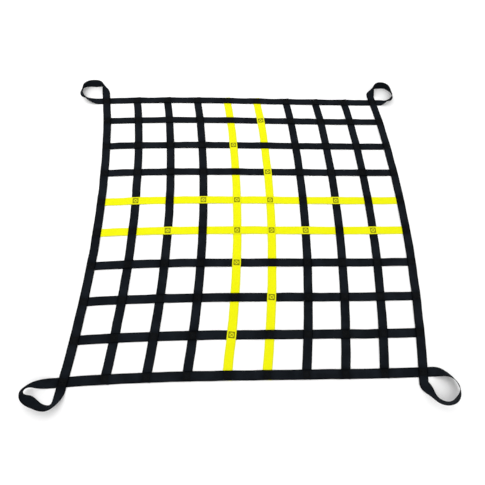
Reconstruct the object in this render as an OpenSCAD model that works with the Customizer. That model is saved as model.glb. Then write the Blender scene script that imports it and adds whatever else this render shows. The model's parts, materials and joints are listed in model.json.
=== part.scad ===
// Cargo climbing net, laid flat on the ground with its right face up.
// Ten long straps run away from the viewer and ten cross straps run left to right.
// The inner straps are woven plainly, the edge straps lie over all their ends, and
// every crossing is held by a square seam. The edge webbing makes a standing loop
// at each corner: it runs on under the corner, turns on edge and comes back on top.
// Millimetres, +X to the right, +Y away, +Z up, origin under the middle of the box.

/* [Webbing] */
// Width of the webbing
strap_w = 50; // [38:1:60]
// Thickness of the webbing
strap_t = 2.4; // [1.6:0.1:3.6]
// Space between two straps where they cross
ply_gap = 0.2; // [0.1:0.05:0.6]
// How far an inner strap's end stops short of the edge strap's outer side
end_setback = 2; // [0:0.5:8]
// Hairline slit under a seam, where two lengths of one strap meet
slit = 0.1; // [0.05:0.05:0.3]

/* [Grid] */
// Distance between the middles of neighbouring straps
pitch = 206; // [160:1:250]
// How much closer the far row of meshes is drawn in than the others
far_gather = 35; // [0:1:50]

/* [Lay on the ground] */
// How far the middle of the long straps bows to the right of their ends
bow = 62; // [0:1:75]
// How far the middle of the cross straps bows away from their ends
row_bend = 9; // [0:1:20]
// How far the right ends of the cross straps lie away, and the left ends near
row_sway = 13; // [0:1:25]
// Half the length over which a strap touches the ground between two crossings
ground_half = 20; // [10:1:30]

/* [Seams] */
// Outer side of the square seam at a crossing
seam_side = 33; // [24:1:36]
// Width of the line of stitches
seam_w = 2; // [1:0.1:3]
// Height of the stitches above the webbing
seam_h = 0.5; // [0.3:0.1:0.8]

/* [Folds] */
// Gap between the two halves of a cross strap at the middle fold
fold_gap = 0.4; // [0.3:0.05:1]
// Height of the middle fold's axis above the ground
fold_axis_z = 12; // [8:0.5:20]
// Gap between a corner loop and the straps at its fold
loop_gap = 0.4; // [0.3:0.05:1]

/* [Far left loop] */
// Sideways reach of the loop's outer middle, from the corner crossing
far_left_out = 75; // [65:1:90]
// Lengthways reach of the loop's outer middle, from the corner crossing
far_left_along = 140; // [120:1:165]

/* [Far right loop] */
// Sideways reach of the loop's outer middle, from the corner crossing
far_right_out = 130; // [110:1:155]
// Lengthways reach of the loop's outer middle, from the corner crossing
far_right_along = 125; // [105:1:150]

/* [Near left loop] */
// Sideways reach of the loop's outer middle, from the corner crossing
near_left_out = 115; // [100:1:135]
// Lengthways reach of the loop's outer middle, from the corner crossing
near_left_along = 85; // [75:1:100]

/* [Near right loop] */
// Sideways reach of the loop's outer middle, from the corner crossing
near_right_out = 150; // [130:1:180]
// Lengthways reach of the loop's outer middle, from the corner crossing
near_right_along = 145; // [125:1:170]

/* [Hidden] */
black = "#1b2028";
yellow = "#f4f01e";
thread = "#101216";

last = 9;                                 // number of the last strap, counted from 0
inner = [1 : last - 1];                   // numbers of the inner straps
yellow_straps = [4, 5];                   // the two middle straps each way are yellow
long_cuts = [2, 4, 5, 7];                 // crossings under which a long strap is parted into lengths
cross_cuts = [2, 7];                      // the same in the left and the right half of a cross strap
half_w = strap_w / 2;
level_half = half_w + 5;                  // half the level stretch of a strap at a crossing
under_z = seam_h;                         // underside of the lower strap at a crossing
over_z = under_z + strap_t + ply_gap;     // underside of the upper strap at a crossing
mitre = strap_w;                          // a loop's fold crosses each edge strap this far out
fold_x = bow / 2;                         // the middle fold runs straight between straps 4 and 5
eps = 0.01;

// ---- The shape of each corner loop, seen from above in its corner's own directions: ----
// reach: where its outer middle lies, sideways and lengthways from the crossing
// swing: how far its outer middle is turned from square to the corner's diagonal, degrees
// round: how roundly it leaves its outer middle, back towards the cross strap and on
//        towards the long strap
// run:   how straight it leaves the cross strap and comes back to the long strap
// banks: how far it stands on edge at five even steps, from 0 flat, through 90 on edge
// last bank: 0 when it lies down again on the same face, 180 on the other face
// lift:  how far its middle is held off the ground by its own twist
far_left = [[far_left_out, far_left_along], 45, [130, 100], [130, 45], [40, 125, 100, 70, 105], 180, 0];
far_right = [[far_right_out, far_right_along], 5, [35, 50], [140, 85], [75, 120, 100, 75, 105], 180, 0];
near_left = [[near_left_out, near_left_along], 15, [110, 60], [140, 105], [45, 100, 35, 55, 50], 0, 18];
near_right = [[near_right_out, near_right_along], 15, [65, 100], [115, 30], [-55, -65, -45, -75, -80], 0, 12];
loop_steps = 40;                          // cross sections along a loop

// ---- Where the straps lie. i counts long straps from the left, j cross straps from the far side. ----
function side(i) = (2 * i - last) / last;                     // -1 at the left edge, 1 at the right
function depth(j) = (last - 2 * j) / last;                    // 1 at the far edge, -1 at the near one
function bowed(j) = bow * (1 - depth(j) * depth(j));
function gathered(j) = far_gather * min(1, max(0, 1 - j));
function laid(i, j) = [
    pitch * (i - last / 2) + bowed(j),
    pitch * (last / 2 - j) - gathered(j) + row_bend * (1 - pow(side(i), 2)) + row_sway * pow(side(i), 3)
];
function unit(v) = v / norm(v);
function long_heading(i, j) = unit(laid(i, j + eps) - laid(i, j - eps));     // towards the near side
function cross_heading(i, j) = unit(laid(i + eps, j) - laid(i - eps, j));    // towards the right
function row_space(j) = pitch - (j < 1 ? far_gather : 0);                    // on the near side of row j
function is_edge(k) = k == 0 || k == last;

// The upper strap at a crossing: an edge strap over an inner one, a long edge over a cross
// edge, and in the middle of the net one over and one under in turn.
function long_on_top(i, j) =
    is_edge(i) ? true :
    is_edge(j) ? false :
    (i + j) % 2 == 0;
function long_z(i, j) = long_on_top(i, j) ? over_z : under_z;
function cross_z(i, j) = long_on_top(i, j) ? under_z : over_z;

// ---- Stations along a strap, as [count along the strap, underside height] ----
function long_stations(i) = [
    for (j = [0 : last])
        let (before = row_space(j - 1), after = row_space(j))
        each concat(
            j > 0 ? [[j - level_half / before, long_z(i, j)]] : [],
            j < last ? [[j + level_half / after, long_z(i, j)],
                        [j + 0.5 - ground_half / after, 0],
                        [j + 0.5 + ground_half / after, 0]] : []
        )
];
function cross_stations(j) = [
    for (i = [0 : last])
        each concat(
            i > 0 ? [[i - level_half / pitch, cross_z(i, j)]] : [],
            i < last ? [[i + level_half / pitch, cross_z(i, j)],
                        [i + 0.5 - ground_half / pitch, 0],
                        [i + 0.5 + ground_half / pitch, 0]] : []
        )
];

// ---- Cross sections: four points, from the left bottom one anticlockwise, looking along the strap ----
function flat_section(left, right, z) = [
    [left[0], left[1], z], [right[0], right[1], z],
    [right[0], right[1], z + strap_t], [left[0], left[1], z + strap_t]
];
function right_of(heading) = [heading[1], -heading[0]];
function long_section(i, j, z) =
    let (middle = laid(i, j), across = half_w * right_of(long_heading(i, j)))
    flat_section(middle - across, middle + across, z);
function cross_section(i, j, z) =
    let (middle = laid(i, j), across = half_w * right_of(cross_heading(i, j)))
    flat_section(middle - across, middle + across, z);
// Where row j's cross strap meets the middle fold, or a line beside it
function fold_count(j, x) = last / 2 + (x - bowed(j)) / pitch;
function fold_section(j, x) =
    let (middle = laid(fold_count(j, x), j), across = [0, -half_w])
    flat_section([x, middle[1]] - across, [x, middle[1]] + across, 0);

// ---- Corners. A corner's own directions are outwards along the cross strap and along the long one. ----
function corner_count(out) = out < 0 ? 0 : last;
function corner_at(s) = laid(corner_count(s[0]), corner_count(-s[1]));
function out_of(s) = s[0] * cross_heading(corner_count(s[0]), corner_count(-s[1]));
function along_of(s) = -s[1] * long_heading(corner_count(s[0]), corner_count(-s[1]));
function at_corner(s, p) = let (c = corner_at(s) + p[0] * out_of(s) + p[1] * along_of(s)) [c[0], c[1], p[2]];
// The mitred ends that a corner's two edge straps have at the loop's fold
function cross_mitre(s, outer, z) = [
    at_corner(s, [mitre + outer + half_w, -half_w, z]), at_corner(s, [mitre + outer - half_w, half_w, z])
];
function long_mitre(s, outer, z) = [
    at_corner(s, [half_w, mitre + outer - half_w, z]), at_corner(s, [-half_w, mitre + outer + half_w, z])
];

// ---- Solids ----
// The wide faces above and below are split along the same diagonal, so that a twist keeps its thickness.
function sides(n) = [
    for (k = [0 : n - 2], e = [0 : 3])
        let (a = 4 * k + e, b = 4 * k + (e + 1) % 4)
        each (e < 2 ? [[a, b, b + 4], [a, b + 4, a + 4]] : [[a, b, a + 4], [b, b + 4, a + 4]])
];
module ribbon(sections, mirrored = false) {
    n = len(sections);
    rings = [for (s = sections) each (mirrored ? [s[3], s[2], s[1], s[0]] : s)];
    ends = [[3, 2, 1, 0], [for (e = [0 : 3]) 4 * (n - 1) + e]];
    polyhedron(rings, concat(ends, sides(n)));
}
module seam_square(z) {
    translate([0, 0, z])
        linear_extrude(seam_h)
            difference() {
                square(seam_side, center = true);
                square(seam_side - 2 * seam_w, center = true);
            }
}

// ---- Corner loops ----
function bezier(a, b, c, d, t) =
    pow(1 - t, 3) * a + 3 * t * pow(1 - t, 2) * b + 3 * t * t * (1 - t) * c + pow(t, 3) * d;
// The loop's middle line, seen from above: out along the cross strap, round, and back along the long one
function loop_line(loop, gap) =
    let (
        start = [mitre + gap, 0], finish = [0, mitre + gap], middle = loop[0],
        way = [-sin(45 + loop[1]), cos(45 + loop[1])],
        steps = 24
    )
    concat(
        [for (k = [0 : steps - 1]) bezier(start, start + [loop[3][0], 0], middle - loop[2][0] * way, middle, k / steps)],
        [for (k = [0 : steps]) bezier(middle, middle + loop[2][1] * way, finish + [0, loop[3][1]], finish, k / steps)]
    );
function lengths_to(line, k = 0, sum = 0) =
    k == len(line) ? [] :
    let (now = sum + (k == 0 ? 0 : norm(line[k] - line[k - 1])))
    concat([now], lengths_to(line, k + 1, now));
// A smooth run through evenly spaced values, at s from 0 to 1
function smooth(values, s) =
    let (
        n = len(values) - 1, k = min(n - 1, floor(s * n)), f = s * n - k,
        a = values[max(0, k - 1)], b = values[k], c = values[k + 1], d = values[min(n, k + 2)]
    )
    (2 * b + (c - a) * f + (2 * a - 5 * b + 4 * c - d) * f * f + (3 * b - a - 3 * c + d) * f * f * f) / 2;
function loop_sections(s, loop) =
    let (
        line = loop_line(loop, loop_gap * sqrt(2)), reach = lengths_to(line), total = reach[len(reach) - 1],
        outs = [for (k = [0 : len(line) - 1]) [reach[k], line[k][0]]],
        alongs = [for (k = [0 : len(line) - 1]) [reach[k], line[k][1]]],
        banks = concat([0], loop[4], [loop[5]]),
        first = half_w + 8, outer = loop_gap * sqrt(2),
        from = cross_mitre(s, outer, 0), to = long_mitre(s, outer, 0), turned = loop[5] == 180
    )
    concat(
        [flat_section(from[1], from[0], under_z)],
        [for (k = [0 : loop_steps])
            let (
                at = first + (total - 2 * first) * k / loop_steps, share = at / total, bank = smooth(banks, share),
                middle = [lookup(at, outs), lookup(at, alongs)],
                way = unit([lookup(at + 1, outs), lookup(at + 1, alongs)] - [lookup(at - 1, outs), lookup(at - 1, alongs)]),
                base = under_z * pow(1 - share, 6) + over_z * pow(share, 6),
                height = base + half_w * abs(sin(bank)) + strap_t / 2 + loop[6] * pow(sin(180 * share), 2),
                half = half_w * [way[1] * cos(bank), -way[0] * cos(bank), sin(bank)],
                face = strap_t / 2 * [-way[1] * sin(bank), way[0] * sin(bank), cos(bank)],
                c = [middle[0], middle[1], height]
            )
            [for (p = [c - half - face, c + half - face, c + half + face, c - half + face]) at_corner(s, p)]],
        [turned
            ? let (flat = flat_section(to[0], to[1], over_z)) [flat[2], flat[3], flat[0], flat[1]]
            : flat_section(to[0], to[1], over_z)]
    );

// ---- Whole pieces ----
corners = [[-1, 1], [1, 1], [-1, -1], [1, -1]];
shapes = [far_left, far_right, near_left, near_right];
function axis_span(k) =
    let (values = [for (c = [0 : 3], section = loop_sections(corners[c], shapes[c]), p = section) p[k]])
    [min(values), max(values)];
span_x = axis_span(0);
span_y = axis_span(1);
centre = [(span_x[0] + span_x[1]) / 2, (span_y[0] + span_y[1]) / 2];
module centred() {
    translate([-centre[0], -centre[1], 0]) children();
}

function strap_colour(k) = (k == yellow_straps[0] || k == yellow_straps[1]) ? yellow : black;

// A long strap between two end sections, in lengths short enough to be nearly straight
module long_lengths(i, far_end, near_end) {
    cuts = concat([-1], long_cuts, [last + 1]);
    for (k = [0 : len(cuts) - 2]) {
        from = cuts[k];
        to = cuts[k + 1];
        ribbon(concat(
            [from < 0 ? far_end : long_section(i, from + slit / 2 / row_space(from), long_z(i, from))],
            [for (p = long_stations(i)) if (p[0] > from && p[0] < to) long_section(i, p[0], p[1])],
            [to > last ? near_end : long_section(i, to - slit / 2 / row_space(to - 1), long_z(i, to))]
        ));
    }
}

// An inner long strap: its ends lie under the far and near edge straps
module long_strap(i) {
    past = half_w - end_setback;
    centred() color(strap_colour(i))
        long_lengths(i,
            long_section(i, -past / row_space(0), under_z),
            long_section(i, last + past / pitch, under_z));
}

// A long edge strap, mitred at both ends where the corner loops fold
module long_edge(s) {
    i = corner_count(s);
    far = long_mitre([s, 1], 0, 0);
    near = long_mitre([s, -1], 0, 0);
    turn = s > 0 ? [0, 1] : [1, 0];
    centred() color(black)
        long_lengths(i,
            flat_section(far[turn[0]], far[turn[1]], over_z),
            flat_section(near[turn[0]], near[turn[1]], over_z));
}

// One half of a cross strap, from the middle fold to its side, in two lengths: s is -1 for the left half
module cross_half(j, s) {
    fold = fold_x + s * fold_gap / 2;
    count = fold_count(j, fold);
    past = (half_w - end_setback) / pitch;
    corner = [s, j == 0 ? 1 : -1];
    mitred = cross_mitre(corner, 0, 0);
    turn = corner[1] > 0 ? [1, 0] : [0, 1];
    end = is_edge(j)
        ? flat_section(mitred[turn[0]], mitred[turn[1]], under_z)
        : cross_section(s < 0 ? -past : last + past, j, under_z);
    body = [for (p = cross_stations(j)) if (s < 0 ? p[0] < count - 0.02 : p[0] > count + 0.02) p];
    at = cross_cuts[s < 0 ? 0 : 1];
    centred() color(strap_colour(j)) {
        ribbon(concat(
            [s < 0 ? end : fold_section(j, fold)],
            [for (p = body) if (p[0] < at) cross_section(p[0], j, p[1])],
            [cross_section(at - slit / 2 / pitch, j, cross_z(at, j))]
        ));
        ribbon(concat(
            [cross_section(at + slit / 2 / pitch, j, cross_z(at, j))],
            [for (p = body) if (p[0] > at) cross_section(p[0], j, p[1])],
            [s < 0 ? fold_section(j, fold) : end]
        ));
    }
}

module corner_loop(c) {
    s = corners[c];
    centred() color(black)
        ribbon(loop_sections(s, shapes[c]), mirrored = s[0] * s[1] < 0);
}

// The square seam of every crossing on one side of the middle fold: a line of stitches on each face
module seams(columns) {
    centred() color(thread)
        for (i = columns, j = [0 : last]) {
            heading = long_on_top(i, j) ? long_heading(i, j) : cross_heading(i, j);
            translate(laid(i, j))
                rotate(atan2(heading[1], heading[0])) {
                    seam_square(0);
                    seam_square(over_z + strap_t);
                }
        }
}

// ---- Where the folds turn: a point on each axis, and the way it runs, lifting the piece that moves ----
loop_axis_z = over_z + strap_t + ply_gap;
function loop_axis(s) =
    let (
        along_cross = cross_mitre(s, 0, 0), along_long = long_mitre(s, 0, 0), line = along_long[1] - along_cross[0],
        point = (along_long[1] + along_cross[0]) / 2, turned = s[0] * s[1]
    )
    [[point[0] - centre[0], point[1] - centre[1], loop_axis_z], unit([line[0], line[1], 0]) * -turned];
echo(middle_fold = [[fold_x - centre[0], 0, fold_axis_z], [0, 1, 0]]);
echo(loop_folds = [for (s = corners) loop_axis(s)]);

module left_edge_strap() { long_edge(-1); }
module right_edge_strap() { long_edge(1); }
module far_left_loop() { corner_loop(0); }
module far_right_loop() { corner_loop(1); }
module near_left_loop() { corner_loop(2); }
module near_right_loop() { corner_loop(3); }
module seams_left() { seams([0 : 4]); }
module seams_right() { seams([5 : last]); }

left_edge_strap();
long_strap(1);  // long_strap_1
long_strap(2);  // long_strap_2
long_strap(3);  // long_strap_3
long_strap(4);  // long_strap_4
long_strap(5);  // long_strap_5
long_strap(6);  // long_strap_6
long_strap(7);  // long_strap_7
long_strap(8);  // long_strap_8
right_edge_strap();
cross_half(0, -1);  // far_edge_strap_left
cross_half(0, 1);  // far_edge_strap_right
cross_half(1, -1);  // cross_strap_1_left
cross_half(1, 1);  // cross_strap_1_right
cross_half(2, -1);  // cross_strap_2_left
cross_half(2, 1);  // cross_strap_2_right
cross_half(3, -1);  // cross_strap_3_left
cross_half(3, 1);  // cross_strap_3_right
cross_half(4, -1);  // cross_strap_4_left
cross_half(4, 1);  // cross_strap_4_right
cross_half(5, -1);  // cross_strap_5_left
cross_half(5, 1);  // cross_strap_5_right
cross_half(6, -1);  // cross_strap_6_left
cross_half(6, 1);  // cross_strap_6_right
cross_half(7, -1);  // cross_strap_7_left
cross_half(7, 1);  // cross_strap_7_right
cross_half(8, -1);  // cross_strap_8_left
cross_half(8, 1);  // cross_strap_8_right
cross_half(last, -1);  // near_edge_strap_left
cross_half(last, 1);  // near_edge_strap_right
far_left_loop();
far_right_loop();
near_left_loop();
near_right_loop();
seams_left();
seams_right();
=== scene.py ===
"""Cargo climbing net: webbing straps woven into a square, sewn at every crossing, with a loop at each corner.

Metres, +X to the right, +Y away, +Z up out of the face that shows. The sizes repeat the frame's own,
and the net's place and its middle fold are read from the frame.
"""

import json
import math

import bmesh
import bpy
from bpy.props import FloatProperty, FloatVectorProperty, IntProperty, PointerProperty
from mathutils import Matrix, Vector, geometry, noise


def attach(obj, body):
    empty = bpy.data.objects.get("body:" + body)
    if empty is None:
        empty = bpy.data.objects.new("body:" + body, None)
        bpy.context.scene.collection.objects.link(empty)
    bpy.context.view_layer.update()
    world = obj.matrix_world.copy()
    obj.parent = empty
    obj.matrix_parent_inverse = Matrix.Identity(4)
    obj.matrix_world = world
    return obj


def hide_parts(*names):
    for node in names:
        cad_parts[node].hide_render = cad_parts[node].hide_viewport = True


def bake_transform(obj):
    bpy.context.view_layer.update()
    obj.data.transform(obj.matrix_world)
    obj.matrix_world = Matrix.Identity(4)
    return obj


bl_info = {
    "name": "Cargo Climbing Net",
    "version": (1, 0, 0),
    "blender": (4, 5, 0),
    "location": "View3D > Sidebar > Climbing Net",
    "description": "Builds a climbing net of woven webbing with sewn crossings and corner loops",
    "category": "Add Mesh",
}

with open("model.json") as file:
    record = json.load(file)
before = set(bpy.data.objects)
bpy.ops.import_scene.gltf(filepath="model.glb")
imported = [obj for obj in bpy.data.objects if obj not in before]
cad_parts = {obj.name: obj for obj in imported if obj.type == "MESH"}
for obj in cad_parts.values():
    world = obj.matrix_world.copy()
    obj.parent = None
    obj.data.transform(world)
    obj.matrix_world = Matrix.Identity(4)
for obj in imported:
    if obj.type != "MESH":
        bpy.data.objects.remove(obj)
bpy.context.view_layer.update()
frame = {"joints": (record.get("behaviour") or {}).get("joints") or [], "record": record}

BODY_LEFT = "net_left"
BODY_RIGHT = "net_right"
LAST = 9  # number of the last strap, counted from 0
YELLOW_STRAPS = (4, 5)  # the two middle straps each way
REST_SPOT = (5, 4.5)  # where the resting face's mount lies: on long strap 5, midway between rows 4 and 5
HEADING_STEP = 0.01  # share of a space, to both sides, over which a strap's heading is taken

# How the webbing bends and lies.
LEVEL_PAST = 0.005  # how far a strap stays level past the side of the strap that it crosses
PRESS_RISE = 0.0033  # width over which the webbing rises again beside a seam
FLAT_PRESS = 0.6  # share of a seam's press that the whole square takes; its stitched rows take all of it
SELVEDGE_THINNING = 0.5  # share of the thickness that is gone at the selvedge's outer side
SELVEDGE_SHOULDER = 0.45  # share of the selvedge, from its outer side, at which its mesh has an edge
CUP = 0.0005  # most that both sides of a strap curl up between crossings
TILT = 0.0016  # half the most that one side of a strap lifts between crossings
FOLD_BEFORE = 0.006  # how far short of the middle fold's axis a cross strap starts to turn
FOLD_PAST = 0.052  # how far past that axis, on the half that lifts, it has turned the whole way
LOOP_FOLD = 0.028  # length over which a corner loop turns as it folds

# How the straps stray between crossings: smooth noise over the ground, read at separate heights.
WANDER_SCALE = 5.3  # how quickly the noise changes along the ground, per metre
WANDER_APART = 7.7  # distance between the heights for straying sideways, up and with one side up
LONG_SEED = 3.1
CROSS_SEED = 11.9
LIFT_BIAS = 0.1  # added to the noise that lifts a strap, so that more than half of it lifts

# Lengths of the mesh's steps along the webbing.
STRAP_STEP = 0.0095
FOLD_STEP = 0.0025  # where the net folds
LOOP_STEP = 0.005
LEAST_STEP = 0.001  # the least
CURVE_POINTS = 48  # points of each of the two curves of a loop's middle line
STRAIGHT_POINTS = 12  # points of each straight run from them to the crossing

# How the webbing is woven.
YARNS_PER_BAND = 4
CORDS_PER_RIB = 2

# The studio.
FLOOR_HALF = 9.0  # half the side of the floor
FLOOR_DROP = 0.0004  # how far the floor lies under the net, so that their faces don't meet
LAMP_SIZE = 3.4
LAMP_PLACE = (-1.3, 1.6, 3.4)

# How each corner loop stands. side: which corner, right and away being 1. swing: turn of its outer
# middle from square to the corner's diagonal. round: how roundly it leaves its outer middle, back
# towards the cross strap and on towards the long strap. run: how straight it leaves the cross strap
# and comes back to the long one. banks: how far it stands on edge, in degrees, at even steps from
# flat to flat. lift: how far its own twist holds its middle off the ground.
LOOPS = {
    "far_left": {
        "side": (-1, 1),
        "swing": 45,
        "round": (0.130, 0.100),
        "run": (0.130, 0.045),
        "banks": (0, 40, 125, 100, 70, 105, 180),
        "lift": 0.0,
    },
    "far_right": {
        "side": (1, 1),
        "swing": 5,
        "round": (0.035, 0.050),
        "run": (0.140, 0.085),
        "banks": (0, 75, 120, 100, 75, 105, 180),
        "lift": 0.0,
    },
    "near_left": {
        "side": (-1, -1),
        "swing": 15,
        "round": (0.110, 0.060),
        "run": (0.140, 0.105),
        "banks": (0, 45, 100, 35, 55, 50, 0),
        "lift": 0.018,
    },
    "near_right": {
        "side": (1, -1),
        "swing": 15,
        "round": (0.065, 0.100),
        "run": (0.115, 0.030),
        "banks": (0, -55, -65, -45, -75, -80, 0),
        "lift": 0.012,
    },
}


# ---- What a user would change ----


class NetWebbing(bpy.types.PropertyGroup):
    """The webbing that the straps are cut from."""

    width: FloatProperty(name="Width", description="Width of the webbing", default=0.050, unit="LENGTH")
    thickness: FloatProperty(
        name="Thickness", description="Thickness of the webbing", default=0.0024, unit="LENGTH"
    )
    ply_gap: FloatProperty(
        name="Ply gap",
        description="Space between the two straps of a crossing",
        default=0.0002,
        unit="LENGTH",
        precision=4,
    )
    end_setback: FloatProperty(
        name="End setback",
        description="How far an inner strap's end stops short of the edge strap's outer side",
        default=0.002,
        unit="LENGTH",
    )
    selvedge: FloatProperty(
        name="Selvedge",
        description="Width of the thinner woven edge",
        default=0.0018,
        unit="LENGTH",
        precision=4,
    )
    rib: FloatProperty(
        name="Rib",
        description="Distance between the slanting ribs of the weave, along the webbing",
        default=0.0024,
        unit="LENGTH",
        precision=4,
    )
    bands: IntProperty(
        name="Bands",
        description="Bands across the webbing, in which the ribs slant one way and then the other",
        default=8,
        min=2,
        max=12,
    )


class NetLay(bpy.types.PropertyGroup):
    """How the straps are spaced, and how the net lies on the ground."""

    pitch: FloatProperty(
        name="Pitch", description="Distance between neighbouring straps", default=0.206, unit="LENGTH"
    )
    far_gather: FloatProperty(
        name="Far gather",
        description="How much closer the far row of meshes is drawn in",
        default=0.035,
        unit="LENGTH",
    )
    bow: FloatProperty(
        name="Bow",
        description="How far the middle of the long straps bows to the right",
        default=0.062,
        unit="LENGTH",
    )
    row_bend: FloatProperty(
        name="Row bend",
        description="How far the middle of the cross straps bows away",
        default=0.009,
        unit="LENGTH",
    )
    row_sway: FloatProperty(
        name="Row sway",
        description="How far the right ends of the cross straps lie away, and the left ends near",
        default=0.013,
        unit="LENGTH",
    )
    ground_half: FloatProperty(
        name="Ground half",
        description="Half the length over which a strap touches the ground between crossings",
        default=0.020,
        unit="LENGTH",
    )
    slack: FloatProperty(
        name="Slack",
        description="Most that a strap lifts off the ground between crossings",
        default=0.0045,
        unit="LENGTH",
        precision=4,
    )
    waver: FloatProperty(
        name="Waver",
        description="Most that a strap strays sideways between crossings",
        default=0.0022,
        unit="LENGTH",
        precision=4,
    )


class NetSeams(bpy.types.PropertyGroup):
    """The square, crossed seam that holds each crossing."""

    side: FloatProperty(
        name="Side", description="Outer side of the square seam", default=0.0325, unit="LENGTH"
    )
    rows: IntProperty(
        name="Rows", description="Square rows of stitches, one within another", default=2, min=1, max=3
    )
    row_gap: FloatProperty(
        name="Row gap",
        description="Distance between neighbouring rows of stitches",
        default=0.0026,
        unit="LENGTH",
        precision=4,
    )
    stitch: FloatProperty(
        name="Stitch", description="Length of one stitch with its space", default=0.0048, unit="LENGTH"
    )
    thread: FloatProperty(
        name="Thread", description="Width of the thread", default=0.0019, unit="LENGTH", precision=4
    )
    press: FloatProperty(
        name="Press",
        description="Share of the webbing's thickness that the stitches press in",
        default=0.3,
        subtype="FACTOR",
    )
    raised: FloatProperty(
        name="Raised",
        description="Height of the lower strap of a crossing, over the thread under it",
        default=0.0005,
        unit="LENGTH",
        precision=4,
    )


class NetLoops(bpy.types.PropertyGroup):
    """How far each corner loop's outer middle lies from its corner crossing: sideways, then lengthways."""

    far_left: FloatVectorProperty(
        name="Far left", description="Reach of this loop", default=(0.075, 0.140), size=2, unit="LENGTH"
    )
    far_right: FloatVectorProperty(
        name="Far right", description="Reach of this loop", default=(0.130, 0.125), size=2, unit="LENGTH"
    )
    near_left: FloatVectorProperty(
        name="Near left", description="Reach of this loop", default=(0.115, 0.085), size=2, unit="LENGTH"
    )
    near_right: FloatVectorProperty(
        name="Near right", description="Reach of this loop", default=(0.150, 0.145), size=2, unit="LENGTH"
    )


class NetColours(bpy.types.PropertyGroup):
    """The colours of the webbing, the thread and the floor."""

    black: FloatVectorProperty(
        name="Black webbing",
        description="Colour of the black webbing",
        default=(0.0098, 0.0126, 0.0170),
        subtype="COLOR",
    )
    yellow: FloatVectorProperty(
        name="Yellow webbing",
        description="Colour of the yellow webbing",
        default=(0.86, 0.86, 0.004),
        subtype="COLOR",
    )
    thread: FloatVectorProperty(
        name="Thread",
        description="Colour of the seams' thread",
        default=(0.0062, 0.0056, 0.0040),
        subtype="COLOR",
    )
    floor: FloatVectorProperty(
        name="Floor", description="Colour of the floor", default=(0.96, 0.96, 0.96), subtype="COLOR"
    )


class NetStage(bpy.types.PropertyGroup):
    """Where the camera stands, and how bright the studio is."""

    camera: FloatVectorProperty(
        name="Camera",
        description="Where the camera stands",
        default=(-0.1064, -1.0616, 2.1094),
        size=3,
        unit="LENGTH",
    )
    lens: FloatProperty(name="Lens", description="Focal length of the camera, in millimetres", default=28.86)
    down: FloatProperty(
        name="Down",
        description="How far the camera looks down from level",
        default=math.radians(66.73),
        unit="ROTATION",
    )
    heading: FloatProperty(
        name="Heading",
        description="How far the camera turns to the right",
        default=math.radians(6.40),
        unit="ROTATION",
    )
    roll: FloatProperty(
        name="Roll", description="How far the camera leans", default=math.radians(5.96), unit="ROTATION"
    )
    lamp_power: FloatProperty(
        name="Lamp power", description="Power of the soft lamp overhead, in watts", default=45.0
    )
    room_light: FloatProperty(
        name="Room light", description="Strength of the even light from all round", default=1.05
    )


# ---- Where everything lies ----


def smooth_step(x):
    """0 up to 0, 1 from 1 on, and a smooth rise between."""
    x = min(1.0, max(0.0, x))
    return x * x * (3 - 2 * x)


def hump(x):
    """1 at 0, falling smoothly to 0 at 1 on both sides."""
    return 1 - smooth_step(abs(x))


class Layout:
    """Where the straps and loops lie, worked out from the sizes, in the frame's coordinates."""

    def __init__(self, net):
        self.webbing = net.net_webbing
        self.lay = net.net_lay
        self.seams = net.net_seams
        self.half = self.webbing.width / 2
        # How far from a crossing's middle a strap is level, and from where a corner loop curves.
        self.level = self.half + LEVEL_PAST
        self.mitre = self.webbing.width
        # Heights of the undersides of a crossing's lower and upper straps.
        self.under = self.seams.raised
        self.over = self.under + self.webbing.thickness + self.webbing.ply_gap
        # A seam's square rows of stitches: half their width together, and how far out their middle lies.
        self.ring_half = (self.seams.rows - 1) / 2 * self.seams.row_gap
        self.ring = self.seams.side / 2 - self.ring_half
        self.offset = Vector((0, 0))
        rest = next(m for m in frame["record"]["mounts"] if m["name"] == "ground_rest")
        self.offset = Vector(rest["pos_m"][:2]) - self.laid(*REST_SPOT)
        self.fold = next(j for j in frame["joints"] if j["name"] == "middle_fold")["pos_m"][0]

    def laid(self, i, j):
        """The middle of long strap i at row j, seen from above. Both may lie between whole numbers."""
        lay = self.lay
        side = (2 * i - LAST) / LAST
        depth = (LAST - 2 * j) / LAST
        gathered = lay.far_gather * min(1.0, max(0.0, 1 - j))
        x = lay.pitch * (i - LAST / 2) + lay.bow * (1 - depth * depth)
        y = lay.pitch * (LAST / 2 - j) - gathered + lay.row_bend * (1 - side * side) + lay.row_sway * side**3
        return Vector((x, y)) + self.offset

    def long_heading(self, i, j):
        return (self.laid(i, j + HEADING_STEP) - self.laid(i, j - HEADING_STEP)).normalized()

    def cross_heading(self, i, j):
        return (self.laid(i + HEADING_STEP, j) - self.laid(i - HEADING_STEP, j)).normalized()

    def row_space(self, j):
        """Distance from row j to the next row towards the near side."""
        return self.lay.pitch - (self.lay.far_gather if j < 1 else 0)

    def end_past(self, number):
        """How far a strap's ends run on past its outermost crossings' middles. Edge straps end there."""
        return 0.0 if number in (0, LAST) else self.half - self.webbing.end_setback

    def long_on_top(self, i, j):
        """Edges lie over the inner straps' ends, long edges over cross edges, and the rest by turns."""
        if i in (0, LAST):
            return True
        if j in (0, LAST):
            return False
        return (i + j) % 2 == 0

    def wander(self, point, seed):
        """How a strap strays at a point of the ground: sideways, up, and with one side up, each -1 to 1."""
        x, y = point.x * WANDER_SCALE, point.y * WANDER_SCALE
        return [noise.noise(Vector((x, y, seed + k * WANDER_APART))) for k in range(3)]

    def corner(self, side):
        """A corner crossing, and its own directions out along the cross strap and on along the long one."""
        i = 0 if side[0] < 0 else LAST
        j = 0 if side[1] > 0 else LAST
        return self.laid(i, j), self.cross_heading(i, j) * side[0], self.long_heading(i, j) * -side[1]


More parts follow.
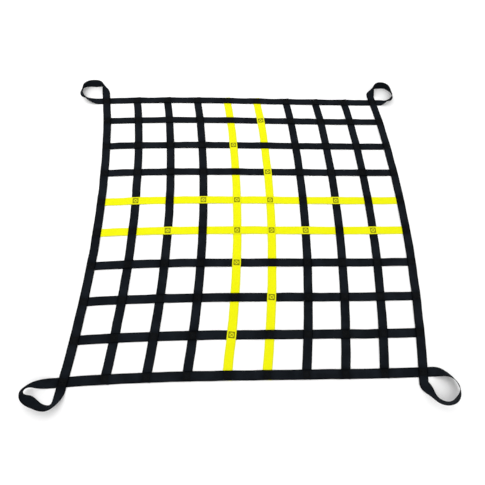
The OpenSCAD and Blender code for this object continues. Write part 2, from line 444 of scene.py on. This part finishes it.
class Section:
    """One cross section of a strap.

    It holds the section's middle, the ways across it and up out of its face, its distances along the
    strap and from the nearest crossing, how far its sides curl up and how far it tilts.
    """

    def __init__(self, middle, across, up, along, from_crossing, cup=0.0, tilt=0.0):
        self.middle = middle
        self.across = across
        self.up = up
        self.along = along
        self.from_crossing = from_crossing
        self.cup = cup
        self.tilt = tilt


def crossing_offsets(layout, furthest):
    """Distances from a crossing's middle at which a strap has a cross section, out to the furthest one."""
    ring, reach = layout.ring, layout.ring_half
    lines = [ring - reach - PRESS_RISE, ring - reach, ring, ring + reach, ring + reach + PRESS_RISE]
    near = [0.0, lines[0] / 2, *lines]
    return [d for d in near if d < furthest - LEAST_STEP] + [furthest]


def strap_counts(layout, spaces, past, fine_span=None):
    """Where a strap has cross sections, as (count along it, distance to the nearest crossing)."""
    counts = []
    for k in range(LAST + 1):
        before = spaces[max(k - 1, 0)]
        after = spaces[min(k, LAST - 1)]
        reach_before = past if k == 0 else layout.level
        reach_after = past if k == LAST else layout.level
        counts += [(k - d / before, d) for d in reversed(crossing_offsets(layout, reach_before)) if d > 0]
        counts.append((float(k), 0.0))
        counts += [(k + d / after, d) for d in crossing_offsets(layout, reach_after) if d > 0]
        if k < LAST:
            span = after - 2 * layout.level
            steps = round(span / (FOLD_STEP if k == fine_span else STRAP_STEP))
            for n in range(1, steps):
                away = layout.level + span * n / steps
                counts.append((k + away / after, min(away, after - away)))
    return counts


def strap_route(layout, laid, heading, heights, spaces, past, seed, fine_span=None):
    """The cross sections of a strap that is woven through the net.

    laid and heading give its place and its way at a count of crossings along it. heights has a number
    for each crossing, spaces one for each space between two, and past is how far its ends run on.
    """
    route = []
    thick = layout.webbing.thickness
    along = 0.0
    last_point = None
    for count, away in strap_counts(layout, spaces, past, fine_span):
        nearest = min(max(round(count), 0), LAST)
        space = spaces[min(max(math.floor(count), 0), LAST - 1)]
        point = laid(count)
        way = heading(count)
        if last_point is not None:
            along += (point - last_point).length
        last_point = point
        free = smooth_step((away - layout.level) / (space / 2 - layout.lay.ground_half - layout.level))
        sideways, up, tilt = layout.wander(point, seed)
        across = Vector((way.y, -way.x))
        middle = point + across * (layout.lay.waver * free * sideways)
        arch = smooth_step((away - layout.level) / (space / 2 - layout.level))
        height = heights[nearest] * (1 - free) + layout.lay.slack * arch * max(0.0, up + LIFT_BIAS)
        route.append(
            Section(
                Vector((middle.x, middle.y, height + thick / 2)),
                Vector((across.x, across.y, 0)),
                Vector((0, 0, 1)),
                along,
                away,
                cup=CUP * free,
                tilt=TILT * free * tilt,
            )
        )
    return route


def long_route(layout, i):
    """Long strap i, from its far end to its near one."""
    spaces = [layout.row_space(j) for j in range(LAST)]
    heights = [layout.over if layout.long_on_top(i, j) else layout.under for j in range(LAST + 1)]
    return strap_route(
        layout,
        lambda j: layout.laid(i, j),
        lambda j: layout.long_heading(i, j),
        heights,
        spaces,
        layout.end_past(i),
        seed=LONG_SEED,
    )


def cross_route(layout, j):
    """Cross strap j, from its left end to its right one, with fine steps where the net folds."""
    spaces = [layout.lay.pitch] * LAST
    heights = [layout.under if layout.long_on_top(i, j) else layout.over for i in range(LAST + 1)]
    fold_count = LAST / 2 + (layout.fold - layout.laid(LAST / 2, j).x) / layout.lay.pitch
    return strap_route(
        layout,
        lambda i: layout.laid(i, j),
        lambda i: layout.cross_heading(i, j),
        heights,
        spaces,
        layout.end_past(j),
        seed=CROSS_SEED,
        fine_span=int(fold_count),
    )


def smooth_run(values, share):
    """A smooth run through evenly spaced values, at a share from 0 to 1."""
    last = len(values) - 1
    k = min(last - 1, int(share * last))
    f = share * last - k
    a, b, c, d = values[max(0, k - 1)], values[k], values[k + 1], values[min(last, k + 2)]
    return (2 * b + (c - a) * f + (2 * a - 5 * b + 4 * c - d) * f * f + (3 * b - a - 3 * c + d) * f**3) / 2


def loop_line(layout, shape, reach):
    """A loop's middle line seen from above, in its corner's directions, with its runs to the crossing."""
    start = Vector((layout.mitre, 0))
    finish = Vector((0, layout.mitre))
    middle = Vector(reach)
    turn = math.radians(45 + shape["swing"])
    way = Vector((-math.sin(turn), math.cos(turn)))
    out = Vector((shape["run"][0], 0))
    home = Vector((0, shape["run"][1]))
    into = middle - way * shape["round"][0]
    onward = middle + way * shape["round"][1]
    first = geometry.interpolate_bezier(start, start + out, into, middle, CURVE_POINTS)
    second = geometry.interpolate_bezier(middle, onward, finish + home, finish, CURVE_POINTS)
    points = [Vector(p).to_2d() for p in first[:-1] + second]
    before = [start * (n / STRAIGHT_POINTS) for n in range(STRAIGHT_POINTS)]
    after = [finish * (1 - n / STRAIGHT_POINTS) for n in range(1, STRAIGHT_POINTS + 1)]
    return before + points + after


class Line:
    """A line of points that can be read at any distance along it."""

    def __init__(self, points):
        self.points = points
        self.reach = [0.0]
        for a, b in zip(points, points[1:]):
            self.reach.append(self.reach[-1] + (b - a).length)
        self.length = self.reach[-1]

    def at(self, distance):
        """The point at a distance, which is held between the line's two ends."""
        distance = min(self.length, max(0.0, distance))
        k = next(n for n in range(1, len(self.points)) if self.reach[n] >= distance)
        share = (distance - self.reach[k - 1]) / (self.reach[k] - self.reach[k - 1])
        return self.points[k - 1].lerp(self.points[k], share)

    def way(self, distance):
        """The heading at a distance, taken over a step to both sides."""
        return (self.at(distance + LOOP_STEP) - self.at(distance - LOOP_STEP)).normalized()


def loop_route(layout, shape, reach):
    """The cross sections of a corner loop, from the middle of its crossing out round it and back on top."""
    line = Line(loop_line(layout, shape, reach))
    corner, out, on = layout.corner(shape["side"])

    def placed(v):
        """A point or a way in the corner's own directions, turned into the frame's."""
        return Vector((*(out * v[0] + on * v[1]), v[2]))

    turned = line.length - 2 * layout.mitre
    offsets = crossing_offsets(layout, layout.mitre)
    steps = round(turned / LOOP_STEP)
    distances = offsets[:-1]
    distances += [layout.mitre + turned * n / steps for n in range(steps + 1)]
    distances += [line.length - d for d in reversed(offsets[:-1])]
    route = []
    thick = layout.webbing.thickness
    for distance in distances:
        share = min(1.0, max(0.0, (distance - layout.mitre) / turned))
        bank = math.radians(smooth_run(shape["banks"], share))
        flat = line.at(distance)
        way = line.way(distance)
        base = layout.under * (1 - share) ** 6 + layout.over * share**6
        height = base + layout.half * abs(math.sin(bank)) + thick / 2
        height += shape["lift"] * math.sin(math.pi * share) ** 2
        across = (way.y * math.cos(bank), -way.x * math.cos(bank), math.sin(bank))
        face = (-way.y * math.sin(bank), way.x * math.sin(bank), math.cos(bank))
        middle = placed((flat.x, flat.y, height)) + corner.to_3d()
        away = min(distance, line.length - distance)
        route.append(Section(middle, placed(across), placed(face), distance, away))
    return route


# ---- Webbing ----


def webbing_columns(layout):
    """Places across the webbing at which its mesh has an edge: finer at the seam's line and the selvedge."""
    half = layout.half
    selvedge = layout.webbing.selvedge
    inner = [d for d in crossing_offsets(layout, half - selvedge) if 0 < d < half - selvedge - LEAST_STEP]
    outer = inner + [half - selvedge, half - selvedge * SELVEDGE_SHOULDER, half]
    return [-d for d in reversed(outer)] + [0.0] + outer


def thickness_share(layout, across, from_crossing):
    """The webbing's thickness as a share: thin at the selvedge, pressed in by a seam, most at its rows."""
    half = layout.half
    selvedge = layout.webbing.selvedge
    edge = 1 - SELVEDGE_THINNING * smooth_step((abs(across) - half + selvedge) / selvedge)
    out = max(abs(across), from_crossing) - layout.ring
    ring = hump(max(0.0, abs(out) - layout.ring_half) / PRESS_RISE)
    inside = 1 - smooth_step((out - layout.ring_half) / PRESS_RISE)
    return edge * (1 - layout.seams.press * (FLAT_PRESS * inside + (1 - FLAT_PRESS) * ring))


def ribbon(name, layout, route):
    """One length of webbing: a grid bent to a route, then given its thickness."""
    columns = webbing_columns(layout)
    rows = len(route) - 1
    mesh = bpy.data.meshes.new(name)
    bm = bmesh.new()
    bmesh.ops.create_grid(bm, x_segments=len(columns) - 1, y_segments=rows, size=1)
    layer = bm.loops.layers.uv.new("UVMap")
    crossing_layer = bm.loops.layers.uv.new("Crossing")
    weights = bm.verts.layers.deform.new()
    scale = round(route[-1].along / layout.webbing.rib) * layout.webbing.rib / route[-1].along
    for vert in bm.verts:
        across = columns[round((vert.co.x + 1) / 2 * (len(columns) - 1))]
        section = route[round((vert.co.y + 1) / 2 * rows)]
        share = across / layout.half
        for corner in vert.link_loops:
            corner[layer].uv = (across, section.along * scale)
            corner[crossing_layer].uv = (section.from_crossing, 0)
        lift = section.cup * share * share + abs(section.tilt) + section.tilt * share
        vert.co = section.middle + section.across * across + section.up * lift
        vert[weights][0] = thickness_share(layout, across, section.from_crossing)
    bmesh.ops.recalc_face_normals(bm, faces=bm.faces)
    bm.to_mesh(mesh)
    bm.free()
    strap = bpy.data.objects.new(name, mesh)
    bpy.context.scene.collection.objects.link(strap)
    strap.vertex_groups.new(name="thickness")
    solid = strap.modifiers.new("Thickness", "SOLIDIFY")
    solid.thickness = layout.webbing.thickness
    solid.offset = 0
    solid.vertex_group = "thickness"
    finish_mesh(strap)
    return strap


def finish_mesh(piece):
    """Applies a piece's modifiers and shades it smooth."""
    graph = bpy.context.evaluated_depsgraph_get()
    made = bpy.data.meshes.new_from_object(piece.evaluated_get(graph))
    plain = piece.data
    made.name = piece.name
    piece.modifiers.clear()
    piece.data = made
    bpy.data.meshes.remove(plain)
    piece.vertex_groups.clear()
    for face in piece.data.polygons:
        face.use_smooth = True


# ---- Shader maths ----


class Field:
    """A number that varies over a surface, so that shader maths reads as plain arithmetic."""

    def __init__(self, shader, socket):
        self.shader = shader
        self.socket = socket

    def maths(self, operation, *others):
        return self.shader.maths(operation, self, *others)

    def __add__(self, other):
        return self.maths("ADD", other)

    __radd__ = __add__

    def __sub__(self, other):
        return self.maths("SUBTRACT", other)

    def __rsub__(self, other):
        return self.shader.maths("SUBTRACT", other, self)

    def __mul__(self, other):
        return self.maths("MULTIPLY", other)

    __rmul__ = __mul__

    def __abs__(self):
        return self.maths("ABSOLUTE")

    def at_least(self, other):
        return self.maths("MAXIMUM", other)

    def ping_pong(self, scale):
        return self.maths("PINGPONG", scale)

    def wave(self):
        """A sine, from 0 to 1."""
        return self.maths("SINE") * 0.5 + 0.5

    def rise(self, low, high):
        """0 up to low, 1 from high on, and a smooth rise between."""
        made = self.shader.node(
            "ShaderNodeMapRange",
            {"interpolation_type": "SMOOTHSTEP"},
            {"Value": self, "From Min": low, "From Max": high},
        )
        return Field(self.shader, made.outputs[0])


class Shader:
    """A material built from nodes around one Principled BSDF."""

    def __init__(self, name):
        self.material = bpy.data.materials.new(name)
        self.material.use_nodes = True
        self.tree = self.material.node_tree
        self.tree.nodes.clear()
        self.surface = self.node("ShaderNodeBsdfPrincipled")
        self.node("ShaderNodeOutputMaterial", {}, {"Surface": self.surface.outputs[0]})

    def node(self, kind, settings=None, inputs=None):
        """A node with its settings, and the value or link of each socket."""
        made = self.tree.nodes.new(kind)
        for name, value in (settings or {}).items():
            setattr(made, name, value)
        for name, value in (inputs or {}).items():
            self.feed(made.inputs[name], value)
        return made

    def feed(self, socket, value):
        value = value.socket if isinstance(value, Field) else value
        if isinstance(value, bpy.types.NodeSocket):
            self.tree.links.new(value, socket)
        else:
            socket.default_value = value

    def maths(self, operation, *values):
        made = self.node("ShaderNodeMath", {"operation": operation}, dict(enumerate(values)))
        return Field(self, made.outputs[0])

    def from_map(self, name):
        """The two numbers that a UV map holds at a point, in metres."""
        place = self.node("ShaderNodeUVMap", {"uv_map": name})
        parts = self.node("ShaderNodeSeparateXYZ", {}, {0: place.outputs[0]})
        return Field(self, parts.outputs["X"]), Field(self, parts.outputs["Y"])

    def mottle(self, scale, detail, stretch=(1, 1, 1)):
        """A cloudy variation in the object's own coordinates, from 0 to 1."""
        place = self.node("ShaderNodeTexCoord")
        spread = self.node("ShaderNodeMapping", {}, {"Vector": place.outputs["Object"], "Scale": stretch})
        made = self.node(
            "ShaderNodeTexNoise", {}, {"Vector": spread.outputs[0], "Scale": scale, "Detail": detail}
        )
        return Field(self, made.outputs[0])

    def blend(self, share, first, second):
        """A colour between two colours."""
        sockets = {"Factor_Float": share, "A_Color": self.colour(first), "B_Color": self.colour(second)}
        made = self.node("ShaderNodeMix", {"data_type": "RGBA"})
        for socket in made.inputs:
            if socket.identifier in sockets:
                self.feed(socket, sockets[socket.identifier])
        return next(socket for socket in made.outputs if socket.identifier == "Result_Color")

    def colour(self, value):
        return value if isinstance(value, bpy.types.NodeSocket) else (*value[:3], 1.0)

    def bump(self, height, distance):
        made = self.node("ShaderNodeBump", {}, {"Height": height, "Distance": distance, "Strength": 1.0})
        self.feed(self.surface.inputs["Normal"], made.outputs[0])


def shaded(colour, share):
    """A colour made darker, or lighter, by a share."""
    return tuple(min(1.0, c * share) for c in colour[:3])


def webbing_finish(name, colour, layout, *, edge_shade, groove_shade, crossing_shade, roughness, gloss):
    """Woven webbing: bands of slanting ribs over fine warp yarns, with a plain corded selvedge.

    The shades are shares of the colour, as painted shade: at the webbing's sides, between its ribs, and where
    it crosses.
    """
    shader = Shader(name)
    across, along = shader.from_map("UVMap")
    from_crossing, _ = shader.from_map("Crossing")
    webbing = layout.webbing

    # The weave's height, from 0 in its grooves to 1 on its ribs and cords.
    band = webbing.width / webbing.bands
    slant = (across + webbing.width).ping_pong(band)
    ribs = ((along + slant) * (2 * math.pi / webbing.rib)).wave()
    yarns = (across * (2 * math.pi * webbing.bands * YARNS_PER_BAND / webbing.width)).wave()
    cords = (along * (2 * math.pi * CORDS_PER_RIB / webbing.rib)).wave()
    selvedge_side = layout.half - webbing.selvedge
    at_edge = abs(across).rise(selvedge_side - 0.0008, selvedge_side - 0.0002)
    cloth = ribs * 0.65 + yarns * 0.35
    height = cloth * (1 - at_edge) + cords * 0.7 * at_edge

    # Masks: where the cloth is cloudy or fuzzy, and where shade is painted: near its side, on a crossing and
    # beside a row of stitches.
    cloudy = shader.mottle(scale=11.0, detail=4.0).rise(0.36, 0.64)
    fuzz = shader.mottle(scale=900.0, detail=1.0).rise(0.3, 0.7)
    to_side = abs(across).rise(layout.half * 0.72, layout.half * 0.96)
    at_crossing = 1 - from_crossing.rise(layout.half * 0.6, layout.half * 2.0)
    from_ring = abs(abs(across).at_least(from_crossing) - layout.ring) - layout.ring_half
    at_seam = 1 - from_ring.rise(0.0, 0.003)

    # The colour: a painted highlight on the ribs and painted shade in the grooves, darker in the clouds,
    # painted shade at crossings and at the sides, and needle holes with painted shade by the thread.
    # Painted light: the ribs lighter and the grooves darker, as if lit across the weave; the fuzz is random
    # tone.
    light = height * 0.75 + fuzz * 0.25
    body = shader.blend(light, shaded(colour, groove_shade), shaded(colour, 1.12))
    # Random cloudy tone, together with painted shade on and beside a crossing, where the two straps meet.
    clouded_and_crossing_shade = shader.blend(at_crossing * 0.5 + cloudy * 0.5, body, shaded(colour, crossing_shade))
    # Painted shade towards the sides, where the rounded edge of the strap turns from the light.
    edged = shader.blend(to_side, clouded_and_crossing_shade, shaded(colour, edge_shade))
    # Darker round the rows of stitches: partly needle holes, partly painted shadow of the thread.
    stitched_and_shaded = shader.blend(at_seam * 0.55, edged, shaded(colour, 0.1))

    surface = shader.surface
    shader.feed(surface.inputs["Base Color"], stitched_and_shaded)
    shader.feed(surface.inputs["Roughness"], roughness + 0.12 * (1 - height))
    surface.inputs["Specular IOR Level"].default_value = gloss
    shader.bump(height * 0.8 + fuzz * 0.2, 0.0006)
    return shader.material


def thread_finish(name, colour):
    """Bonded thread: a faint twist and a slight gloss."""
    shader = Shader(name)
    twist = shader.mottle(scale=700.0, detail=1.0, stretch=(1, 1, 2)).rise(0.35, 0.65)
    shader.feed(shader.surface.inputs["Base Color"], shader.blend(twist, shaded(colour, 0.6), colour))
    shader.feed(shader.surface.inputs["Roughness"], 0.5 + 0.2 * twist)
    shader.surface.inputs["Specular IOR Level"].default_value = 0.08
    shader.bump(twist, 0.0002)
    return shader.material


def floor_finish(name, colour):
    """A plain pale studio floor."""
    shader = Shader(name)
    grain = shader.mottle(scale=3.0, detail=2.0)
    shader.feed(shader.surface.inputs["Base Color"], shader.blend(grain, colour, shaded(colour, 0.985)))
    shader.surface.inputs["Roughness"].default_value = 0.9
    shader.surface.inputs["Specular IOR Level"].default_value = 0.1
    return shader.material


def finish_named(name, make):
    """A material by name, made the first time it is asked for."""
    return bpy.data.materials.get(name) or make(name)


def black_webbing(net, layout):
    return finish_named(
        "woven_black",
        lambda name: webbing_finish(
            name,
            net.net_colours.black,
            layout,
            # The three shades are painted shade: at the sides, in the grooves and at the crossings.
            edge_shade=0.05,
            groove_shade=0.55,
            crossing_shade=0.30,
            roughness=0.62,
            gloss=0.02,
        ),
    )


def yellow_webbing(net, layout):
    return finish_named(
        "woven_yellow",
        lambda name: webbing_finish(
            name,
            net.net_colours.yellow,
            layout,
            # The three shades are painted shade: at the sides, in the grooves and at the crossings.
            edge_shade=0.86,
            groove_shade=0.78,
            crossing_shade=0.93,
            roughness=0.75,
            gloss=0.08,
        ),
    )


# ---- Pieces ----


def add_strap(net, layout, name, route, is_yellow):
    """A strap of the net in its finish."""
    strap = ribbon(name, layout, route)
    make = yellow_webbing if is_yellow else black_webbing
    strap.data.materials.append(make(net, layout))
    return strap


def seam_lines(seams):
    """The rows of stitches of one seam, each by its two ends: square rows, and a double cross inside them."""
    lines = []
    for row in range(seams.rows):
        reach = (seams.side - seams.thread) / 2 - row * seams.row_gap
        corners = [Vector((reach * x, reach * y, 0)) for x, y in ((-1, -1), (1, -1), (1, 1), (-1, 1))]
        lines += zip(corners, corners[1:] + corners[:1])
    for tip in (corners[2], corners[3]):
        inner = tip * (1 - seams.row_gap / reach)
        aside = Vector((tip.y, -tip.x, 0)).normalized() * (seams.row_gap / 2)
        lines += [(-inner + aside, inner + aside), (inner - aside, -inner - aside)]
    return lines


def seam_stitches(layout, name):
    """The seam of one crossing as separate stitches, round the origin and pointing up."""
    seams = layout.seams
    slant = 0.08  # turn of each stitch off its row, in radians
    half_run = 0.6  # half a stitch's length, as a share of its place in the row, so that neighbours meet
    half_height = 0.3  # half its height, as a share of the thread's width
    blunt = Matrix.Rotation(math.pi / 6, 4, "Z")  # turns a flat side of the six-sided stitch to each end
    bm = bmesh.new()
    for start, end in seam_lines(seams):
        run = end - start
        count = round(run.length / seams.stitch)
        turn = Matrix.Rotation(math.atan2(run.y, run.x) + slant, 4, "Z")
        size = Matrix.Diagonal(
            (run.length / count * half_run, seams.thread / 2, seams.thread * half_height, 1)
        )
        for n in range(count):
            place = Matrix.Translation(start.lerp(end, (n + 0.5) / count))
            bmesh.ops.create_uvsphere(
                bm, u_segments=6, v_segments=3, radius=1, matrix=place @ turn @ size @ blunt
            )
    mesh = bpy.data.meshes.new(name)
    bm.to_mesh(mesh)
    bm.free()
    return mesh


def add_stitches(net, layout, name, columns, body, node):
    """The seams of every crossing on one side of the middle fold, on both faces."""
    seam = seam_stitches(layout, name + "_seam")
    thick = layout.webbing.thickness
    sunk = thick * layout.seams.press / 2
    proud = layout.seams.thread * 0.12  # how far the thread's middle stands out of the pressed webbing
    bm = bmesh.new()
    for i in columns:
        for j in range(LAST + 1):
            on_top = layout.long_on_top(i, j)
            way = layout.long_heading(i, j) if on_top else layout.cross_heading(i, j)
            turn = Matrix.Rotation(math.atan2(way.y, way.x), 4, "Z")
            for height in (layout.over + thick - sunk + proud, layout.under + sunk - proud):
                place = Matrix.Translation((*layout.laid(i, j), height)) @ turn
                copy = seam.copy()
                copy.transform(place)
                bm.from_mesh(copy)
                bpy.data.meshes.remove(copy)
    mesh = bpy.data.meshes.new(name)
    bm.to_mesh(mesh)
    bm.free()
    bpy.data.meshes.remove(seam)
    stitches = bpy.data.objects.new(name, mesh)
    bpy.context.scene.collection.objects.link(stitches)
    for face in mesh.polygons:
        face.use_smooth = True
    mesh.materials.append(
        finish_named("bonded_thread", lambda title: thread_finish(title, net.net_colours.thread))
    )
    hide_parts(node)
    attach(stitches, body)


class NET_OT_long_straps(bpy.types.Operator):
    """Add the ten long straps, each riding on its side of the middle fold"""

    bl_idname = "mesh.climbing_net_long_straps"
    bl_label = "Long Straps"

    def execute(self, context):
        net = context.scene
        layout = Layout(net)
        nodes = {0: "left_edge_strap", LAST: "right_edge_strap"}
        for i in range(LAST + 1):
            node = nodes.get(i, f"long_strap_{i}")
            strap = add_strap(net, layout, f"webbing_{node}", long_route(layout, i), i in YELLOW_STRAPS)
            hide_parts(node)
            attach(strap, BODY_LEFT if i <= LAST // 2 else BODY_RIGHT)
        return {"FINISHED"}


class NET_OT_cross_straps(bpy.types.Operator):
    """Add the ten cross straps, with finer steps across the middle fold"""

    bl_idname = "mesh.climbing_net_cross_straps"
    bl_label = "Cross Straps"

    def execute(self, context):
        net = context.scene
        layout = Layout(net)
        nodes = {0: "far_edge_strap", LAST: "near_edge_strap"}
        bend_start, bend_end = layout.fold + FOLD_BEFORE, layout.fold - FOLD_PAST
        for j in range(LAST + 1):
            node = nodes.get(j, f"cross_strap_{j}")
            strap = add_strap(net, layout, f"webbing_{node}", cross_route(layout, j), j in YELLOW_STRAPS)
            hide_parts(node + "_left", node + "_right")
            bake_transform(strap)
        return {"FINISHED"}


class NET_OT_corner_loops(bpy.types.Operator):
    """Add the four corner loops at the corner crossings"""

    bl_idname = "mesh.climbing_net_corner_loops"
    bl_label = "Corner Loops"

    def execute(self, context):
        net = context.scene
        layout = Layout(net)
        for corner_name, shape in LOOPS.items():
            reach = getattr(net.net_loops, corner_name)
            name = f"webbing_{corner_name}_loop"
            loop = add_strap(net, layout, name, loop_route(layout, shape, reach), False)
            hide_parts(corner_name + "_loop")
            corner, out, on = layout.corner(shape["side"])
            start = corner + (out + on) * layout.half
            end = start + (out + on).normalized() * LOOP_FOLD
            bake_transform(loop)
        return {"FINISHED"}


class NET_OT_seams(bpy.types.Operator):
    """Add the square, crossed seam of stitches at every crossing, on both faces"""

    bl_idname = "mesh.climbing_net_seams"
    bl_label = "Seams"

    def execute(self, context):
        net = context.scene
        layout = Layout(net)
        middle = LAST // 2 + 1
        add_stitches(net, layout, "stitches_left", range(middle), BODY_LEFT, "seams_left")
        add_stitches(net, layout, "stitches_right", range(middle, LAST + 1), BODY_RIGHT, "seams_right")
        return {"FINISHED"}


def add_floor(scene):
    bm = bmesh.new()
    place = Matrix.Translation((0, 0, -FLOOR_DROP))
    bmesh.ops.create_grid(bm, x_segments=2, y_segments=2, size=FLOOR_HALF, matrix=place)
    mesh = bpy.data.meshes.new("floor")
    bm.to_mesh(mesh)
    bm.free()
    mesh.materials.append(floor_finish("studio_floor", scene.net_colours.floor))
    floor = bpy.data.objects.new("floor", mesh)
    scene.collection.objects.link(floor)


def add_lamp(scene):
    """A wide, soft lamp above the far left, aimed at the net's middle."""
    lamp = bpy.data.lights.new("soft_lamp", "AREA")
    lamp.shape = "DISK"
    lamp.size = LAMP_SIZE
    lamp.energy = scene.net_stage.lamp_power
    holder = bpy.data.objects.new("soft_lamp", lamp)
    holder.location = LAMP_PLACE
    holder.rotation_euler = (-holder.location).to_track_quat("-Z", "Y").to_euler()
    scene.collection.objects.link(holder)


def add_room(scene):
    """Even white light from all round."""
    room = bpy.data.worlds.new("studio")
    room.use_nodes = True
    back = room.node_tree.nodes["Background"]
    back.inputs["Color"].default_value = (1, 1, 1, 1)
    back.inputs["Strength"].default_value = scene.net_stage.room_light
    scene.world = room
    scene.view_settings.view_transform = "Standard"


def add_camera(scene):
    stage = scene.net_stage
    camera = bpy.data.cameras.new("camera")
    camera.lens = stage.lens
    holder = bpy.data.objects.new("camera", camera)
    holder.matrix_world = (
        Matrix.Translation(stage.camera)
        @ Matrix.Rotation(-stage.heading, 4, "Z")
        @ Matrix.Rotation(math.pi / 2 - stage.down, 4, "X")
        @ Matrix.Rotation(stage.roll, 4, "Z")
    )
    scene.collection.objects.link(holder)
    scene.camera = holder


class NET_OT_stage(bpy.types.Operator):
    """Add the pale floor, the soft light and the camera"""

    bl_idname = "mesh.climbing_net_stage"
    bl_label = "Stage"

    def execute(self, context):
        add_floor(context.scene)
        add_lamp(context.scene)
        add_room(context.scene)
        add_camera(context.scene)
        return {"FINISHED"}


class NET_PT_panel(bpy.types.Panel):
    """Lists the net's sizes and colours, and a button for each group of pieces"""

    bl_label = "Climbing Net"
    bl_idname = "NET_PT_panel"
    bl_space_type = "VIEW_3D"
    bl_region_type = "UI"
    bl_category = "Climbing Net"

    def draw(self, context):
        for name in GROUPS:
            box = self.layout.box()
            group = getattr(context.scene, name)
            for field in group.bl_rna.properties:
                if field.identifier not in ("rna_type", "name"):
                    box.prop(group, field.identifier)
        for operator in OPERATORS:
            self.layout.operator(operator.bl_idname)


GROUPS = {
    "net_webbing": NetWebbing,
    "net_lay": NetLay,
    "net_seams": NetSeams,
    "net_loops": NetLoops,
    "net_colours": NetColours,
    "net_stage": NetStage,
}
OPERATORS = (NET_OT_long_straps, NET_OT_cross_straps, NET_OT_corner_loops, NET_OT_seams, NET_OT_stage)


def register():
    for kind in (*GROUPS.values(), *OPERATORS, NET_PT_panel):
        bpy.utils.register_class(kind)
    for name, kind in GROUPS.items():
        setattr(bpy.types.Scene, name, PointerProperty(type=kind))


def unregister():
    for name in GROUPS:
        delattr(bpy.types.Scene, name)
    for kind in (NET_PT_panel, *reversed(OPERATORS), *reversed(GROUPS.values())):
        bpy.utils.unregister_class(kind)


def main():
    register()
    bpy.ops.mesh.climbing_net_long_straps()
    bpy.ops.mesh.climbing_net_cross_straps()
    bpy.ops.mesh.climbing_net_corner_loops()
    bpy.ops.mesh.climbing_net_seams()
    bpy.ops.mesh.climbing_net_stage()


if __name__ == "__main__":
    main()
